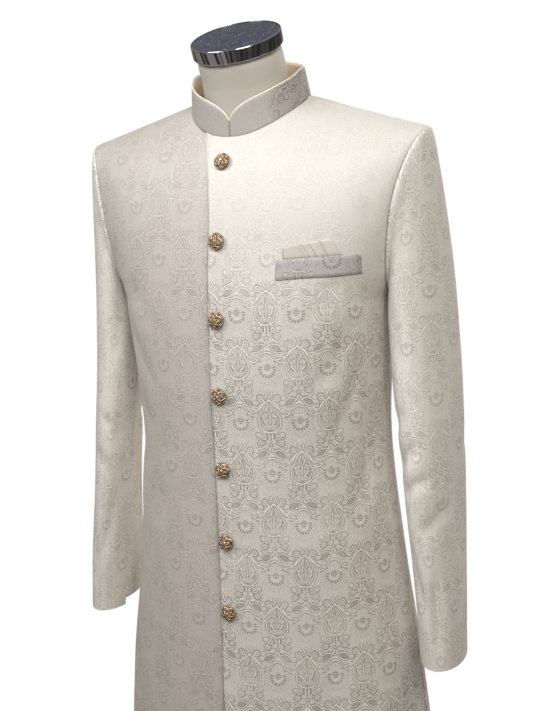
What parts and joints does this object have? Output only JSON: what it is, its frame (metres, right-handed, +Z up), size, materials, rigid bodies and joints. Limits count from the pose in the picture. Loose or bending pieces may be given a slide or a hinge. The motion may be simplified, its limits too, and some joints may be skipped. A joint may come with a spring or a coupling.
{
  "type": "sherwani coat on a dress form",
  "caption": "Knee-length sherwani coat in ivory brocade with a stand collar, buttoned front and breast pocket, on a limbless dress form with a capped neck and a round stand.",
  "frame": {"origin": "centre of the round base's underside, on the floor", "axes": "+Z up along the stand's pole, -Y towards the coat's buttoned front, +X towards the wearer's left"},
  "size_m": [0.528, 0.38, 1.58],
  "materials": {
    "brocade": "ivory self-coloured brocade with a soft satin sheen",
    "collar_inside": "plain cream satin facing",
    "gilt": "antique gold with dark recesses",
    "form": "smooth cream, satin",
    "chrome": "mirror polish",
    "lid": "dark slate with fine pale specks"
  },
  "bodies": {
    "root": {"front_left": "brocade", "front_right": "brocade", "back_left": "brocade", "back_right": "brocade", "sleeve_left_upper": "brocade", "sleeve_right_upper": "brocade", "sleeve_left_under": "brocade", "sleeve_right_under": "brocade", "collar_outer": "brocade", "collar_inner": "collar_inside", "pocket_welt": "brocade", "pocket_square": "brocade", "button_1": "gilt", "button_2": "gilt", "button_3": "gilt", "button_4": "gilt", "button_5": "gilt", "button_6": "gilt", "button_7": "gilt", "form_body": "form", "cap_ring": "chrome", "cap_lid": "lid", "base_plate": "chrome", "pole_socket": "chrome", "stand_pole": "chrome"}
  },
  "joints": []
}
